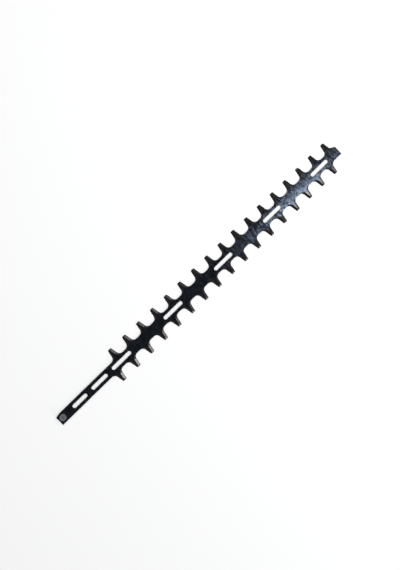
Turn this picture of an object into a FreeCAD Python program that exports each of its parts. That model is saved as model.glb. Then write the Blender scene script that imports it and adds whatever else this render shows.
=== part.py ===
import FreeCAD, Part
import math
import os

import Sketcher

# Double-sided hedge trimmer blade: a flat toothed steel bar with a drive boss riveted in its shank.
# The blade lies on its flat cutting face at Z = 0, with the ground bevels up and +X towards the nose.
# The origin is at the middle of its length and of its width. Lengths are millimetres, angles degrees.

SIZES = {
    # the bar and its two ends
    "bar_width": 19.5,
    "bar_thickness": 2.5,
    "shank_length": 150,
    "shank_corner_length": 9.5,
    "shank_corner_drop": 2,
    "nose_length": 16,
    "nose_corner_drop": 1.7,
    "nose_shoulder_angle": 31,
    # the teeth: the left row stands on +Y, the right row half a pitch nearer the shank on -Y
    "teeth_per_side": 17,
    "tooth_pitch": 35,
    "tooth_height": 20,
    "tip_width": 7.5,
    "tip_radius": 1.8,
    "flank_angle": 10.3,
    "root_radius": 8,
    "tooth_seat": 2.5,
    # the ground bevels, which leave a square land above the flat face
    "flank_bevel_width": 4,
    "tip_bevel_width": 2.8,
    "bevel_land": 0.5,
    "bevel_stop": 0.2,
    "run_out_radius": 3,
    "run_out_turn": 130,
    "grind_over": 1,
    # the slots that the blade slides on its bolts by
    "slot_width": 7.5,
    "guide_slot_length": 46,
    "guide_slot_pitch": 130.5,
    "guide_slot_first": 152,
    "guide_slot_nose_gap": 20,
    "front_shank_slot_length": 38,
    "front_shank_slot_place": 98,
    "rear_shank_slot_length": 34,
    "rear_shank_slot_place": 50,
    # the drive boss, whose tail is peened into a countersink under the shank
    "boss_diameter": 12,
    "boss_height": 6,
    "boss_chamfer": 0.6,
    "boss_dimple_diameter": 4,
    "boss_dimple_depth": 0.4,
    "boss_place": 10,
    "rivet_diameter": 7,
    "rivet_countersink": 1,
    "rivet_clearance": 0.05,
}

doc = FreeCAD.newDocument("hedge_trimmer_blade")
sheet = doc.addObject("Spreadsheet::Sheet", "dims")
for row, (name, size) in enumerate(SIZES.items(), 1):
    sheet.set(f"A{row}", name)
    sheet.set(f"B{row}", str(size))
    sheet.setAlias(f"B{row}", name)
doc.recompute()

# Places that several pieces share, as formulas of the sheet.
LENGTH = "(dims.shank_length + dims.tooth_pitch * (dims.teeth_per_side - 1) + dims.nose_length)"
REAR_END = f"(-{LENGTH} / 2)"
NOSE_END = f"({LENGTH} / 2)"
FIRST_TOOTH = f"({REAR_END} + dims.shank_length)"
LAST_TOOTH = f"({NOSE_END} - dims.nose_length)"
BAR_EDGE = "(dims.bar_width / 2)"
TIP = f"({BAR_EDGE} + dims.tooth_height)"
FLANK_SLOPE = "tan(dims.flank_angle * 1deg)"
BOSS_X = f"({REAR_END} + dims.boss_place)"


def number(formula):
    return float(sheet.evalExpression(formula))


def point(x, y):
    return FreeCAD.Vector(number(x), number(y), 0)


def new_body(label):
    body = doc.addObject("PartDesign::Body", label)
    body.Label = label
    doc.recompute()
    return body


def origin_feature(body, role):
    return next(f for f in body.Origin.OriginFeatures if f.Role == role)


def new_sketch(body, name, plane="XY_Plane", base=("0", "0", "0"), turn="0"):
    """A sketch on one of the body's origin planes, moved to base and turned about the upright axis."""
    sketch = body.newObject("Sketcher::SketchObject", name)
    sketch.AttachmentSupport = [(origin_feature(body, plane), "")]
    sketch.MapMode = "FlatFace"
    upright = FreeCAD.Vector(0, 0, 1) if plane == "XY_Plane" else FreeCAD.Vector(0, 1, 0)
    sketch.AttachmentOffset = FreeCAD.Placement(FreeCAD.Vector(), FreeCAD.Rotation(upright, 90))
    for axis, formula in zip("xyz", base):
        sketch.setExpression(f"AttachmentOffset.Base.{axis}", formula)
    sketch.setExpression("AttachmentOffset.Rotation.Angle", f"({turn}) * 1deg")
    doc.recompute()
    return sketch


def bind(sketch, formula, kind, *geometry):
    """A dimension of the sketch that follows a formula of the sheet."""
    index = sketch.addConstraint(Sketcher.Constraint(kind, *geometry, number(formula)))
    sketch.setExpression(f"Constraints[{index}]", formula)


def bind_point(sketch, x, y, geometry, end):
    bind(sketch, x, "DistanceX", -1, 1, geometry, end)
    bind(sketch, y, "DistanceY", -1, 1, geometry, end)


def draw_outline(sketch, corners):
    """A closed outline through corners of (x, y) or, where the corner is rounded, (x, y, radius)."""
    count = len(corners)
    sharp = [point(x, y) for x, y, *_ in corners]
    radii = [number(corner[2]) if len(corner) > 2 else 0 for corner in corners]
    starts, ends, centres = [], [], []
    for i, at in enumerate(sharp):
        back = (sharp[i - 1] - at).normalize()
        on = (sharp[(i + 1) % count] - at).normalize()
        half = back.getAngle(on) / 2
        reach = radii[i] / math.tan(half)
        ends.append(at + back * reach)
        starts.append(at + on * reach)
        centres.append(at + (back + on).normalize() * (reach**2 + radii[i] ** 2) ** 0.5)
    lines = [
        sketch.addGeometry(Part.LineSegment(starts[i], ends[(i + 1) % count]), False)
        for i in range(count)
    ]
    for i, corner in enumerate(corners):
        before, after = lines[i - 1], lines[i]
        if not radii[i]:
            sketch.addConstraint(Sketcher.Constraint("Coincident", before, 2, after, 1))
            bind_point(sketch, corner[0], corner[1], after, 1)
            continue
        angles = [math.atan2(p.y - centres[i].y, p.x - centres[i].x) for p in (ends[i], starts[i])]
        sweep = (angles[1] - angles[0]) % (2 * math.pi)
        first = 1 if sweep < math.pi else 2
        begin = angles[first - 1]
        circle = Part.Circle(centres[i], FreeCAD.Vector(0, 0, 1), radii[i])
        arc = Part.ArcOfCircle(circle, begin, begin + min(sweep, 2 * math.pi - sweep))
        arc = sketch.addGeometry(arc, False)
        vertex = sketch.addGeometry(Part.Point(sharp[i]), True)
        bind_point(sketch, corner[0], corner[1], vertex, 1)
        sketch.addConstraint(
            [
                Sketcher.Constraint("PointOnObject", vertex, 1, before),
                Sketcher.Constraint("PointOnObject", vertex, 1, after),
                Sketcher.Constraint("Tangent", before, 2, arc, first),
                Sketcher.Constraint("Tangent", after, 1, arc, 3 - first),
            ]
        )
        bind(sketch, corner[2], "Radius", arc)


def draw_slot(sketch, place, length):
    """A slot along X with round ends, centred on the bar at the formula place."""
    radius = "dims.slot_width / 2"
    reach = f"({length} / 2 - {radius})"
    up = FreeCAD.Vector(0, 0, 1)
    quarter = math.pi / 2
    ends = []
    for side, start in ((-1, quarter), (1, -quarter)):
        centre = point(f"{place} + {side} * {reach}", "0")
        circle = Part.Circle(centre, up, number(radius))
        ends.append(sketch.addGeometry(Part.ArcOfCircle(circle, start, start + 2 * quarter), False))
        bind_point(sketch, f"{place} + {side} * {reach}", "0", ends[-1], 3)
    rear, front = ends
    for rear_end, front_end in ((1, 2), (2, 1)):
        line = Part.LineSegment(
            sketch.getPoint(rear, rear_end), sketch.getPoint(front, front_end)
        )
        side = sketch.addGeometry(line, False)
        sketch.addConstraint(
            [
                Sketcher.Constraint("Tangent", side, 1, rear, rear_end),
                Sketcher.Constraint("Tangent", side, 2, front, front_end),
            ]
        )
    bind(sketch, radius, "Radius", rear)


def pad(body, sketch, name):
    feature = body.newObject("PartDesign::Pad", name)
    feature.Profile = sketch
    feature.setExpression("Length", "dims.bar_thickness")
    doc.recompute()
    return feature


def pocket(body, sketch, name, length="dims.bar_thickness", upward=True):
    """A straight cut. From the flat face it goes up, against the usual way of a cut."""
    feature = body.newObject("PartDesign::Pocket", name)
    feature.Profile = sketch
    feature.Reversed = upward
    feature.setExpression("Length", length)
    doc.recompute()
    return feature


def revolve(body, kind, sketch, name, turn="360", reverse=False):
    """Turns the sketch about its own upright axis."""
    feature = body.newObject(kind, name)
    feature.Profile = sketch
    feature.ReferenceAxis = (sketch, ["V_Axis"])
    feature.setExpression("Angle", f"{turn} * 1deg")
    feature.Reversed = reverse
    doc.recompute()
    return feature


def along_bar(body, originals, name, pitch, count):
    """Repeats features along +X, or the whole body so far where there are no features to name."""
    feature = body.newObject("PartDesign::LinearPattern", name)
    feature.TransformMode = "Features" if originals else "Whole shape"
    feature.Originals = originals
    feature.Direction = (origin_feature(body, "X_Axis"), [""])
    feature.setExpression("Length", f"{pitch} * ({count} - 1)")
    feature.setExpression("Occurrences", count)
    body.Tip = feature
    doc.recompute()


def shoulder_line(x):
    """Height of the straight shoulder from the last left tooth down to the corner of the nose."""
    slope = "tan(dims.nose_shoulder_angle * 1deg)"
    return f"({BAR_EDGE} - dims.nose_corner_drop + ({NOSE_END} - {x}) * {slope})"


def add_bar(body):
    """The flat blank of the shank and nose, and the shoulder that carries the last left tooth."""
    outline = new_sketch(body, "bar_outline")
    draw_outline(
        outline,
        [
            (REAR_END, f"-{BAR_EDGE}"),
            (NOSE_END, f"-{BAR_EDGE}"),
            (NOSE_END, BAR_EDGE),
            (f"{REAR_END} + dims.shank_corner_length", BAR_EDGE),
            (REAR_END, f"{BAR_EDGE} - dims.shank_corner_drop"),
        ],
    )
    pad(body, outline, "bar")
    root = f"({LAST_TOOTH} + dims.tip_width / 2)"
    shoulder = new_sketch(body, "nose_shoulder_outline")
    draw_outline(
        shoulder,
        [(root, "0"), (NOSE_END, "0"), (NOSE_END, shoulder_line(NOSE_END)), (root, shoulder_line(root))],
    )
    pad(body, shoulder, "nose_shoulder")


def bevel_section(edge, inward, over, width):
    """Section of a bevel cut: it starts at the land on the edge and rises inward past the top face."""
    rise = "(dims.bar_thickness - dims.bevel_land + dims.grind_over)"
    top = "dims.bar_thickness + dims.grind_over"
    slope = f"{width} / (dims.bar_thickness - dims.bevel_land)"
    return [
        (over, "dims.bevel_land"),
        (edge, "dims.bevel_land"),
        (f"{edge} + {inward} * {rise} * {slope}", top),
        (over, top),
    ]


def add_tooth(body, side, place, way):
    """One tooth with fillets at its root, ground on both flanks and its tip.

    way is 1 for the row on +Y and -1 for the row on -Y, which is the same row turned by half a turn.
    """
    turn = "0" if way == 1 else "180"
    flank_at_bar = f"(dims.tip_width / 2 + dims.tooth_height * {FLANK_SLOPE})"
    half_pitch = "(dims.tooth_pitch / 2)"
    seat = f"({BAR_EDGE} - dims.tooth_seat)"
    outline = new_sketch(body, f"{side}_tooth_outline", base=(place, "0", "0"), turn=turn)
    draw_outline(
        outline,
        [
            (f"-{half_pitch}", seat),
            (half_pitch, seat),
            (half_pitch, BAR_EDGE),
            (flank_at_bar, BAR_EDGE, "dims.root_radius"),
            ("dims.tip_width / 2", TIP, "dims.tip_radius"),
            ("-dims.tip_width / 2", TIP, "dims.tip_radius"),
            (f"-{flank_at_bar}", BAR_EDGE, "dims.root_radius"),
            (f"-{half_pitch}", BAR_EDGE),
        ],
    )
    pad(body, outline, f"{side}_tooth")

    for hand, name in ((1, "front"), (-1, "rear")):
        grind_flank(body, f"{side}_{name}_bevel", place, way, hand)
    section = new_sketch(body, f"{side}_tip_bevel_section", "YZ_Plane", ("0", "0", place), turn)
    draw_outline(section, bevel_section(TIP, -1, f"{TIP} + dims.grind_over", "dims.tip_bevel_width"))
    tip_bevel = pocket(body, section, f"{side}_tip_bevel", "2 * dims.tip_width", upward=False)
    tip_bevel.SideType = "Symmetric"
    doc.recompute()


def grind_flank(body, name, place, way, hand, straight=True):
    """The bevel of one flank: straight to the tip, and turning out of the flank in the root fillet."""
    turn = "0" if way == 1 else "180"
    width = "dims.flank_bevel_width"
    centre_y = f"({BAR_EDGE} + dims.bevel_stop + dims.run_out_radius + {width})"
    flank_x = f"(dims.tip_width / 2 + ({TIP} - {centre_y}) * {FLANK_SLOPE})"
    centre_x = f"({flank_x} + dims.run_out_radius / cos(dims.flank_angle * 1deg))"
    base = (f"{place} + {way * hand} * {centre_x}", "0", f"{-way} * {centre_y}")
    lean = f"{turn} + {hand} * dims.flank_angle"
    section = new_sketch(body, f"{name}_section", "XZ_Plane", base, lean)
    draw_outline(section, bevel_section(f"{-hand} * dims.run_out_radius", -hand, "0", width))
    if straight:
        pocket(body, section, name, "dims.tooth_height", upward=False)
    revolve(body, "PartDesign::Groove", section, f"{name}_run_out", "dims.run_out_turn", hand == -1)


def trim_nose(body, name):
    """The nose is sheared square, and its left corner along the line of the shoulder."""
    start = f"({NOSE_END} - 2 * dims.nose_corner_drop)"
    far = f"({NOSE_END} + dims.tooth_pitch)"
    high = f"({BAR_EDGE} + dims.bar_width)"
    sketch = new_sketch(body, f"{name}_outline")
    draw_outline(
        sketch,
        [
            (NOSE_END, f"-{high}"),
            (far, f"-{high}"),
            (far, high),
            (start, high),
            (start, shoulder_line(start)),
            (NOSE_END, shoulder_line(NOSE_END)),
        ],
    )
    return pocket(body, sketch, name)


def add_slots(body):
    """The row of guide slots between the teeth, and the two slots in the shank."""
    guide = new_sketch(body, "guide_slot_outline")
    draw_slot(guide, f"({REAR_END} + dims.guide_slot_first)", "dims.guide_slot_length")
    room = f"({LENGTH} - dims.guide_slot_first - dims.guide_slot_length / 2 - dims.guide_slot_nose_gap)"
    count = f"(floor({room} / dims.guide_slot_pitch) + 1)"
    first = pocket(body, guide, "guide_slot")
    along_bar(body, [first], "guide_slots", "dims.guide_slot_pitch", count)
    for name in ("front_shank_slot", "rear_shank_slot"):
        sketch = new_sketch(body, f"{name}_outline")
        draw_slot(sketch, f"({REAR_END} + dims.{name}_place)", f"dims.{name}_length")
        body.Tip = pocket(body, sketch, name)


def rivet_profile(clearance, top):
    """Half section of the rivet from its tail in the countersink up to the formula top."""
    radius = f"(dims.rivet_diameter / 2 + {clearance})"
    return [
        ("0", "0"),
        (f"{radius} + dims.rivet_countersink", "0"),
        (radius, "dims.rivet_countersink"),
        (radius, top),
    ]


def make_tooth_rows():
    """Both rows of teeth with a strip of the bar's edge, trimmed at the nose like the bar."""
    body = new_body("tooth_rows")
    add_tooth(body, "left", FIRST_TOOTH, 1)
    add_tooth(body, "right", f"({FIRST_TOOTH} - dims.tooth_pitch / 2)", -1)
    along_bar(body, [], "teeth", "dims.tooth_pitch", "dims.teeth_per_side")
    body.Tip = trim_nose(body, "teeth_nose_trim")
    return body


def make_blade_bar():
    """The bar with its slots and its rivet hole, in one piece with its teeth."""
    body = new_body("blade_bar")
    add_bar(body)
    grind_flank(body, "nose_shoulder_bevel", LAST_TOOTH, 1, 1, straight=False)
    trim_nose(body, "bar_nose_trim")
    add_slots(body)
    hole = new_sketch(body, "rivet_hole_section", "XZ_Plane", (BOSS_X, "0", "0"))
    top = "dims.bar_thickness"
    draw_outline(hole, rivet_profile("dims.rivet_clearance", top) + [("0", top)])
    revolve(body, "PartDesign::Groove", hole, "rivet_hole")
    joined = body.newObject("PartDesign::Boolean", "bar_with_teeth")
    joined.setObjects([make_tooth_rows()])
    joined.Type = "Fuse"
    body.Tip = joined
    doc.recompute()
    return body


def make_drive_boss():
    """Turned steel: a boss for the connecting rod's eye, with a rivet shank and a shallow dimple on top."""
    body = new_body("drive_boss")
    seat = "dims.bar_thickness"
    top = f"({seat} + dims.boss_height)"
    radius = "(dims.boss_diameter / 2)"
    section = new_sketch(body, "boss_section", "XZ_Plane", (BOSS_X, "0", "0"))
    draw_outline(
        section,
        rivet_profile("0", seat)
        + [
            (radius, seat),
            (radius, f"{top} - dims.boss_chamfer"),
            (f"{radius} - dims.boss_chamfer", top),
            ("dims.boss_dimple_diameter / 2", top),
            ("0", f"{top} - dims.boss_dimple_depth"),
        ],
    )
    body.Tip = revolve(body, "PartDesign::Revolution", section, "boss")
    return body


bodies = [make_blade_bar(), make_drive_boss()]
doc.recompute()

for item in doc.Objects:
    if {"Invalid", "Error"} & set(item.State):
        raise RuntimeError(f"{item.Label} failed: {item.State}")
for body in bodies:
    if body.Shape.isNull() or not body.Shape.isValid() or len(body.Shape.Solids) != 1:
        raise RuntimeError(f"{body.Label} is not one valid solid")

os.makedirs("parts", exist_ok=True)
for body in bodies:
    body.Shape.exportStep(f"parts/{body.Label}.step")
    box = body.Shape.BoundBox
    print(body.Label, f"{box.XLength:.2f} x {box.YLength:.2f} x {box.ZLength:.2f} mm")
    print(f"  volume {body.Shape.Volume:.1f} mm3, {len(body.Shape.Faces)} faces")
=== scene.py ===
import math

import bpy
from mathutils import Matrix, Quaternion, Vector


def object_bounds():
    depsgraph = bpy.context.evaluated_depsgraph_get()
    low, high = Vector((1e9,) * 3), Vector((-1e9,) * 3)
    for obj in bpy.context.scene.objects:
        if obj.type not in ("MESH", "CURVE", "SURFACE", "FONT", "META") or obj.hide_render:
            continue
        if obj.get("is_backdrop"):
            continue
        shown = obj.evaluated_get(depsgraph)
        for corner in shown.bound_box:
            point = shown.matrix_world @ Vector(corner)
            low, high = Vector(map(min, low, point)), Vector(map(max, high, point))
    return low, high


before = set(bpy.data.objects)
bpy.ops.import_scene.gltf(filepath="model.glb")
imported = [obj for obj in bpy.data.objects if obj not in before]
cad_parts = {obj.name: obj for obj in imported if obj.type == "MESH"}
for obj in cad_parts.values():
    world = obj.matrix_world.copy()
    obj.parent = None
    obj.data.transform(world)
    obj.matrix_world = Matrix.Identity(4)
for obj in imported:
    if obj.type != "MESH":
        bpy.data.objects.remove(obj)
cad_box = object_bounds()

# The blade bar: one long strip of spring steel with teeth punched along both edges, slots down its
# middle and a plain shank. It is rolled, blackened all over and lightly oiled. The teeth are hardened
# afterwards, which browns their outer part, and their flanks and tips are ground to a cutting edge.
BAR_DARK = (0.025, 0.028, 0.034, 1)
BAR_SHEEN = (0.123, 0.150, 0.200, 1)
TOOTH_BLACK = (0.054, 0.054, 0.054, 1)
TOOTH_BROWN = (0.076, 0.075, 0.074, 1)
BEVEL_FRESH = (0.178, 0.164, 0.163, 1)
# The darker bevel colour stands for dull grinding marks and for painted shade towards the bevel's edge.
BEVEL_DULL_AND_SHADE = (0.080, 0.074, 0.074, 1)
EDGE_PUNCHED = (0.022, 0.022, 0.024, 1)
ROOT_LINE = (0.010, 0.010, 0.011, 1)
BEVEL_UP = 0.86
BEVEL_UP_WITHIN = 0.1
WALL_UP = 0.0
WALL_UP_WITHIN = 0.3
CLOUD_ROUGHNESS = 0.6


def start_material(name):
    """A new material and its shader node."""
    material = bpy.data.materials.new(name)
    material.use_nodes = True
    return material, material.node_tree.nodes["Principled BSDF"]


def fill(material, socket, value):
    """Gives a socket a plain value, or what another node puts out."""
    if isinstance(value, bpy.types.NodeSocket):
        material.node_tree.links.new(value, socket)
    else:
        socket.default_value = value


def calculate(material, operation, *values):
    """The result of one calculation with the given values."""
    node = material.node_tree.nodes.new("ShaderNodeMath")
    node.operation = operation
    for socket, value in zip(node.inputs, values):
        fill(material, socket, value)
    return node.outputs[0]


def ramp(material, value, low, high):
    """0 below low and 1 above high, with a soft change between."""
    node = material.node_tree.nodes.new("ShaderNodeMapRange")
    node.interpolation_type = "SMOOTHSTEP"
    fill(material, node.inputs["Value"], value)
    node.inputs["From Min"].default_value = low
    node.inputs["From Max"].default_value = high
    return node.outputs[0]


def blend(material, factor, below, above, kind="RGBA"):
    """Mixes two colours, or two numbers where the kind is FLOAT."""
    node = material.node_tree.nodes.new("ShaderNodeMix")
    node.data_type = kind
    socket_kind = {"RGBA": "RGBA", "FLOAT": "VALUE"}[kind]
    mixed = [s for s in node.inputs if s.type == socket_kind and s.name in ("A", "B")]
    for socket, value in zip([node.inputs[0]] + mixed, (factor, below, above)):
        fill(material, socket, value)
    return next(s for s in node.outputs if s.type == socket_kind)


def clouds(material, vector, to_metre, detail, drawn_out=(1, 1, 1)):
    """A grey pattern with so many clouds to the metre, longer along an axis where drawn_out is small."""
    mapping = material.node_tree.nodes.new("ShaderNodeMapping")
    fill(material, mapping.inputs["Vector"], vector)
    mapping.inputs["Scale"].default_value = drawn_out
    node = material.node_tree.nodes.new("ShaderNodeTexNoise")
    fill(material, node.inputs["Vector"], mapping.outputs[0])
    node.inputs["Scale"].default_value = to_metre
    node.inputs["Detail"].default_value = detail
    node.inputs["Roughness"].default_value = CLOUD_ROUGHNESS
    return node.outputs[0]


def place_on(material):
    """The point's place in the blade's frame, as one vector and as X, Y and Z."""
    place = material.node_tree.nodes.new("ShaderNodeTexCoord").outputs["Object"]
    axes = material.node_tree.nodes.new("ShaderNodeSeparateXYZ")
    fill(material, axes.inputs[0], place)
    return place, axes.outputs


def face_up(material):
    """How far the face looks up: 1 for the top face, 0 for the walls."""
    normal = material.node_tree.nodes.new("ShaderNodeNewGeometry").outputs["True Normal"]
    axes = material.node_tree.nodes.new("ShaderNodeSeparateXYZ")
    fill(material, axes.inputs[0], normal)
    return axes.outputs[2]


def roughen(material, shader, height, depth):
    """A fine relief of the given depth in metres."""
    bump = material.node_tree.nodes.new("ShaderNodeBump")
    bump.inputs["Strength"].default_value = 1.0
    bump.inputs["Distance"].default_value = depth
    fill(material, bump.inputs["Height"], height)
    fill(material, shader.inputs["Normal"], bump.outputs[0])


blackened, shader = start_material("blackened_blade_steel")
place, (x, y, z) = place_on(blackened)
across = calculate(blackened, "ABSOLUTE", y)
up = face_up(blackened)
bevel = calculate(blackened, "COMPARE", up, BEVEL_UP, BEVEL_UP_WITHIN)
wall = calculate(blackened, "COMPARE", up, WALL_UP, WALL_UP_WITHIN)

# The blackened skin is mottled in pale streaks and flecks across the bar, with dark spots between them.
STREAKS = {"to_metre": 300.0, "detail": 2.0, "drawn_out": (1.0, 0.36, 1.0)}
STREAKS_FROM = 0.43
STREAKS_FULL = 0.58
STREAKS_SHARE = 0.8
FLECKS = {"to_metre": 800.0, "detail": 3.0}
FLECKS_FROM = 0.42
FLECKS_FULL = 0.62
FLECKS_SHARE = 0.2
SPOTS = {"to_metre": 190.0, "detail": 2.0, "drawn_out": (1.0, 0.6, 1.0)}
SPOTS_BELOW = 0.34
SPOTS_END = 0.43
SPOTS_DARKEN = 0.9

streaks = ramp(blackened, clouds(blackened, place, **STREAKS), STREAKS_FROM, STREAKS_FULL)
flecks = ramp(blackened, clouds(blackened, place, **FLECKS), FLECKS_FROM, FLECKS_FULL)
mottle = calculate(blackened, "MULTIPLY", streaks, STREAKS_SHARE)
mottle = calculate(blackened, "MULTIPLY_ADD", flecks, FLECKS_SHARE, mottle)
off_spots = ramp(blackened, clouds(blackened, place, **SPOTS), SPOTS_BELOW, SPOTS_END)
off_spots = calculate(blackened, "MULTIPLY_ADD", off_spots, SPOTS_DARKEN, 1 - SPOTS_DARKEN)
mottle = calculate(blackened, "MULTIPLY", mottle, off_spots)

# It is most mottled between the middle and the nose, and evener on the shank's half and at the nose.
MOTTLED_FROM = -0.02
MOTTLED_FULL = 0.05
NOSE_EVEN_FROM = 0.20
NOSE_EVEN_FULL = 0.34
EVENED_BY = 0.5
EVEN_MOTTLE = 0.40

evened = calculate(blackened, "SUBTRACT", 1.0, ramp(blackened, x, MOTTLED_FROM, MOTTLED_FULL))
evened = calculate(blackened, "ADD", evened, ramp(blackened, x, NOSE_EVEN_FROM, NOSE_EVEN_FULL))
evened = calculate(blackened, "MULTIPLY", evened, EVENED_BY)
mottle = blend(blackened, evened, mottle, EVEN_MOTTLE, "FLOAT")

# The hardened part of a tooth starts at a wandering line a little above its root, with a dark line
# just below it.
WANDER = {"to_metre": 300.0, "detail": 2.0}
WANDER_BY = 0.0012
HARDENED_FROM = 0.0158
HARDENED_FULL = 0.0176
ROOT_LINE_AT = 0.0152
ROOT_LINE_HALF_WIDTH = 0.0007
ROOT_LINE_STRENGTH = 0.6

wander = calculate(blackened, "MULTIPLY", clouds(blackened, place, **WANDER), WANDER_BY)
from_middle = calculate(blackened, "ADD", across, wander)
hardened = ramp(blackened, from_middle, HARDENED_FROM, HARDENED_FULL)
off_line = calculate(blackened, "SUBTRACT", from_middle, ROOT_LINE_AT)
off_line = ramp(blackened, calculate(blackened, "ABSOLUTE", off_line), 0.0, ROOT_LINE_HALF_WIDTH)
root_line = calculate(blackened, "MULTIPLY_ADD", off_line, -ROOT_LINE_STRENGTH, ROOT_LINE_STRENGTH)

# A bevel is freshly ground, with dull grinding marks across it, and has painted shade towards its edge.
GRINDING_MARKS = {"to_metre": 1500.0, "detail": 3.0, "drawn_out": (1.0, 0.12, 1.0)}
GRINDING_MARKS_END = 0.5
# Painted shade: the bevel is darkest below the first height and fully ground-coloured above the second.
BEVEL_SHADE_BELOW = 0.0011
BEVEL_UNSHADED_ABOVE = 0.0016

marks = clouds(blackened, place, **GRINDING_MARKS)
fresh_and_unshaded = ramp(blackened, z, BEVEL_SHADE_BELOW, BEVEL_UNSHADED_ABOVE)
fresh_and_unshaded = calculate(blackened, "MULTIPLY", fresh_and_unshaded, ramp(blackened, marks, 0.0, GRINDING_MARKS_END))

# Colour and roughness go from the skin to the hardened teeth, the bevels and the punched walls.
BAR_DARK_ROUGHNESS = 0.10
BAR_SHEEN_ROUGHNESS = 0.11
HARDENED_ROUGHNESS = 0.12
BEVEL_ROUGHNESS = 0.20
WALL_ROUGHNESS = 0.55

colour = blend(blackened, mottle, BAR_DARK, BAR_SHEEN)
colour = blend(blackened, hardened, colour, blend(blackened, flecks, TOOTH_BLACK, TOOTH_BROWN))
colour = blend(blackened, root_line, colour, ROOT_LINE)
colour = blend(blackened, bevel, colour, blend(blackened, fresh_and_unshaded, BEVEL_DULL_AND_SHADE, BEVEL_FRESH))
colour = blend(blackened, wall, colour, EDGE_PUNCHED)
fill(blackened, shader.inputs["Base Color"], colour)

finish = blend(blackened, mottle, BAR_DARK_ROUGHNESS, BAR_SHEEN_ROUGHNESS, "FLOAT")
finish = blend(blackened, hardened, finish, HARDENED_ROUGHNESS, "FLOAT")
finish = blend(blackened, bevel, finish, BEVEL_ROUGHNESS, "FLOAT")
finish = blend(blackened, wall, finish, WALL_ROUGHNESS, "FLOAT")
fill(blackened, shader.inputs["Roughness"], finish)
shader.inputs["Metallic"].default_value = 1.0

# Fine rolling marks run across the bar, deepest in the pale streaks, and spread a reflection along it.
# The relief's parts are given in shares of its depth.
ROLLING_MARKS = {"to_metre": 1400.0, "detail": 2.0, "drawn_out": (1.0, 0.06, 1.0)}
ROLLING_MIDDLE = 0.5
ROLLING_EVERYWHERE = 1.5
ROLLING_IN_STREAKS = 3.0
HARDENED_RELIEF = 0.3
GRINDING_RELIEF = 0.04
RELIEF_DEPTH = 0.00003

rolled = clouds(blackened, place, **ROLLING_MARKS)
rolled_depth = calculate(blackened, "MULTIPLY_ADD", streaks, ROLLING_IN_STREAKS, ROLLING_EVERYWHERE)
relief = calculate(blackened, "SUBTRACT", rolled, ROLLING_MIDDLE)
relief = calculate(blackened, "MULTIPLY", relief, rolled_depth)
hardened_relief = calculate(blackened, "MULTIPLY", mottle, HARDENED_RELIEF)
relief = blend(blackened, hardened, relief, hardened_relief, "FLOAT")
grinding_relief = calculate(blackened, "MULTIPLY", marks, GRINDING_RELIEF)
relief = blend(blackened, bevel, relief, grinding_relief, "FLOAT")
roughen(blackened, shader, relief, RELIEF_DEPTH)
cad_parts["blade_bar"].data.materials[0] = blackened

# The drive boss: a small turned steel button for the eye of the machine's connecting rod, riveted
# through the shank. It is phosphated grey on top, with fine tool rings and a shallow dimple, and its
# side is coloured near black, darker than its top.
BOSS_AT = -0.353
BOSS_GREY = (0.128, 0.137, 0.158, 1)
BOSS_RIM = (0.180, 0.187, 0.203, 1)
BOSS_CENTRE = (0.060, 0.068, 0.090, 1)
BOSS_SIDE = (0.012, 0.013, 0.016, 1)
BLOTCHES = {"to_metre": 700.0, "detail": 4.0}
BLOTCHES_FROM = 0.35
BLOTCHES_FULL = 0.68
BLOTCHES_STRENGTH = 0.35
DIMPLE_INNER = 0.0012
DIMPLE_OUTER = 0.0026
RIM_INNER = 0.0047
RIM_OUTER = 0.0056
RIM_STRENGTH = 0.7
BOSS_ROUGHNESS = 0.42
BLOTCHES_ROUGHNESS = 0.58
BOSS_METALLIC = 0.4
TOOL_RING = 0.00045
TOOL_DEPTH = 0.000025

turned, shader = start_material("grey_boss_steel")
place, (x, y, _) = place_on(turned)
from_axis = calculate(turned, "POWER", calculate(turned, "SUBTRACT", x, BOSS_AT), 2.0)
from_axis = calculate(turned, "ADD", from_axis, calculate(turned, "POWER", y, 2.0))
from_axis = calculate(turned, "SQRT", from_axis)
rings = calculate(turned, "SINE", calculate(turned, "MULTIPLY", from_axis, 2 * math.pi / TOOL_RING))
blotches = ramp(turned, clouds(turned, place, **BLOTCHES), BLOTCHES_FROM, BLOTCHES_FULL)
outside_dimple = ramp(turned, from_axis, DIMPLE_INNER, DIMPLE_OUTER)
rim = calculate(turned, "MULTIPLY", ramp(turned, from_axis, RIM_INNER, RIM_OUTER), RIM_STRENGTH)

blotched = calculate(turned, "MULTIPLY", blotches, BLOTCHES_STRENGTH)
colour = blend(turned, blotched, BOSS_GREY, BOSS_CENTRE)
colour = blend(turned, outside_dimple, BOSS_CENTRE, colour)
colour = blend(turned, rim, colour, BOSS_RIM)
side = calculate(turned, "COMPARE", face_up(turned), WALL_UP, WALL_UP_WITHIN)
colour = blend(turned, side, colour, BOSS_SIDE)
fill(turned, shader.inputs["Base Color"], colour)
finish = blend(turned, blotches, BOSS_ROUGHNESS, BLOTCHES_ROUGHNESS, "FLOAT")
fill(turned, shader.inputs["Roughness"], finish)
shader.inputs["Metallic"].default_value = BOSS_METALLIC
roughen(turned, shader, rings, TOOL_DEPTH)
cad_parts["drive_boss"].data.materials[0] = turned

# The floor: a plain pale table that the blade lies on. It is a little self-lit for the camera and for
# reflections, so that it stays near white and still takes the blade's soft shadow.
FLOOR_PALE = (0.90, 0.90, 0.90, 1)
FLOOR_ROUGHNESS = 0.9
FLOOR_LIFT = 0.11
FLOOR_SIZE = 8
FLOOR_DROP = 0.0002

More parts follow.
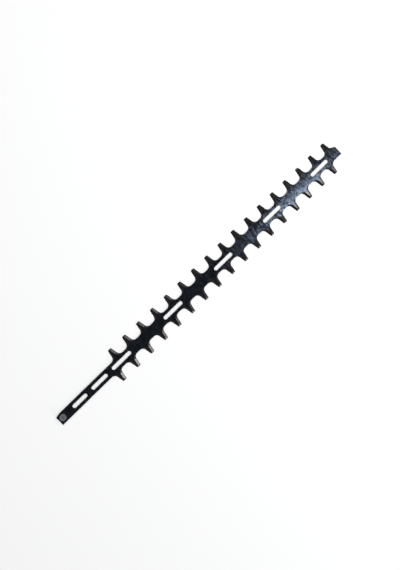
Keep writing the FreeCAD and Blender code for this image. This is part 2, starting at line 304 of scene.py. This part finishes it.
bpy.ops.object.select_all(action="DESELECT")
bpy.ops.mesh.primitive_plane_add(size=FLOOR_SIZE, location=(0, 0, -FLOOR_DROP))
floor = bpy.context.object
floor.name = "floor"
pale, shader = start_material("pale_floor")
shader.inputs["Base Color"].default_value = FLOOR_PALE
shader.inputs["Roughness"].default_value = FLOOR_ROUGHNESS
shader.inputs["Specular IOR Level"].default_value = 0.0
shader.inputs["Emission Color"].default_value = (1, 1, 1, 1)
rays = pale.node_tree.nodes.new("ShaderNodeLightPath").outputs
seen = calculate(pale, "MAXIMUM", rays["Is Camera Ray"], rays["Is Glossy Ray"])
seen = calculate(pale, "MAXIMUM", seen, rays["Is Transmission Ray"])
fill(pale, shader.inputs["Emission Strength"], calculate(pale, "MULTIPLY", seen, FLOOR_LIFT))
floor.data.materials.append(pale)
floor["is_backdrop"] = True

# The light: a dim even room and soft panels. The key and fill panels light the table from both sides.
# The bar's face reflects the sheen, glint, strip and nose panels, and the ground bevels reflect the
# far, low and side panels.
ROOM_COLOUR = (0.95, 0.97, 1.0, 1)
ROOM_STRENGTH = 0.12
WHITE = (1, 1, 1)
COOL = (0.92, 0.96, 1.0)
BLADE_MIDDLE = (0, 0, 0)

world = bpy.data.worlds.new("room")
world.use_nodes = True
world.node_tree.nodes["Background"].inputs["Color"].default_value = ROOM_COLOUR
world.node_tree.nodes["Background"].inputs["Strength"].default_value = ROOM_STRENGTH
bpy.context.scene.world = world


def soft_panel(name, at, size, brightness, aim=None, colour=WHITE, turn=0):
    """A flat panel that faces the aim, or straight down. A brightness of 1 looks white.

    It is turned by so many degrees in its own plane."""
    width, depth = size
    light = bpy.data.lights.new(name, "AREA")
    light.shape = "RECTANGLE"
    light.size = width
    light.size_y = depth
    light.energy = brightness * math.pi * width * depth
    light.color = colour
    lamp = bpy.data.objects.new(name, light)
    lamp.location = at
    target = aim or (at[0], at[1], 0)
    facing = (Vector(target) - Vector(at)).to_track_quat("-Z", "Y")
    lamp.rotation_euler = (facing @ Quaternion((0, 0, 1), math.radians(turn))).to_euler()
    bpy.context.collection.objects.link(lamp)


soft_panel("key_panel", at=(1.00, 1.70, 4.40), size=(1.6, 1.6), brightness=15.0, aim=BLADE_MIDDLE)
soft_panel("fill_panel", at=(0.80, -2.30, 4.40), size=(1.6, 1.6), brightness=10.0, aim=BLADE_MIDDLE)
soft_panel("sheen_panel", at=(0.598, -0.152, 0.80), size=(0.22, 0.21), brightness=7.2, colour=COOL,
           turn=-14)
soft_panel("glint_panel", at=(0.573, -0.077, 0.79), size=(0.08, 0.05), brightness=4.2, colour=COOL)
soft_panel("strip_panel", at=(0.376, -0.044, 0.80), size=(0.22, 0.03), brightness=1.0, colour=COOL)
soft_panel("nose_panel", at=(1.05, -0.05, 1.50), size=(0.90, 0.90), brightness=0.04)
soft_panel("far_panel", at=(1.56, -0.25, 1.53), size=(1.3, 0.62), brightness=1.3, aim=BLADE_MIDDLE)
soft_panel("low_panel", at=(2.36, -0.68, 0.38), size=(1.0, 0.42), brightness=1.1, aim=BLADE_MIDDLE)
soft_panel("side_panel", at=(0.25, -2.30, 0.65), size=(1.2, 1.0), brightness=3.2, aim=BLADE_MIDDLE)

# The camera stands over the middle of the blade, a little to the shank's side and to the left row, and
# looks down on it with the shank at the lower left.
IMAGE_HEIGHT = 570
FOCAL_LENGTH_PIXELS = 494
SENSOR_HEIGHT = 36
CAMERA_AT = (-0.1085, 0.0353, 0.9130)
CAMERA_TURN = (2.55, -5.91, -44.24)

camera = bpy.data.cameras.new("camera")
camera.sensor_fit = "VERTICAL"
camera.sensor_height = SENSOR_HEIGHT
camera.lens = FOCAL_LENGTH_PIXELS * SENSOR_HEIGHT / IMAGE_HEIGHT
viewer = bpy.data.objects.new("camera", camera)
viewer.location = CAMERA_AT
viewer.rotation_euler = [math.radians(angle) for angle in CAMERA_TURN]
bpy.context.collection.objects.link(viewer)
bpy.context.scene.camera = viewer
bpy.context.scene.view_settings.view_transform = "Standard"

boxes = {"cad": cad_box, "visual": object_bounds()}
boxes = {name: [list(corner) for corner in box] for name, box in boxes.items()}
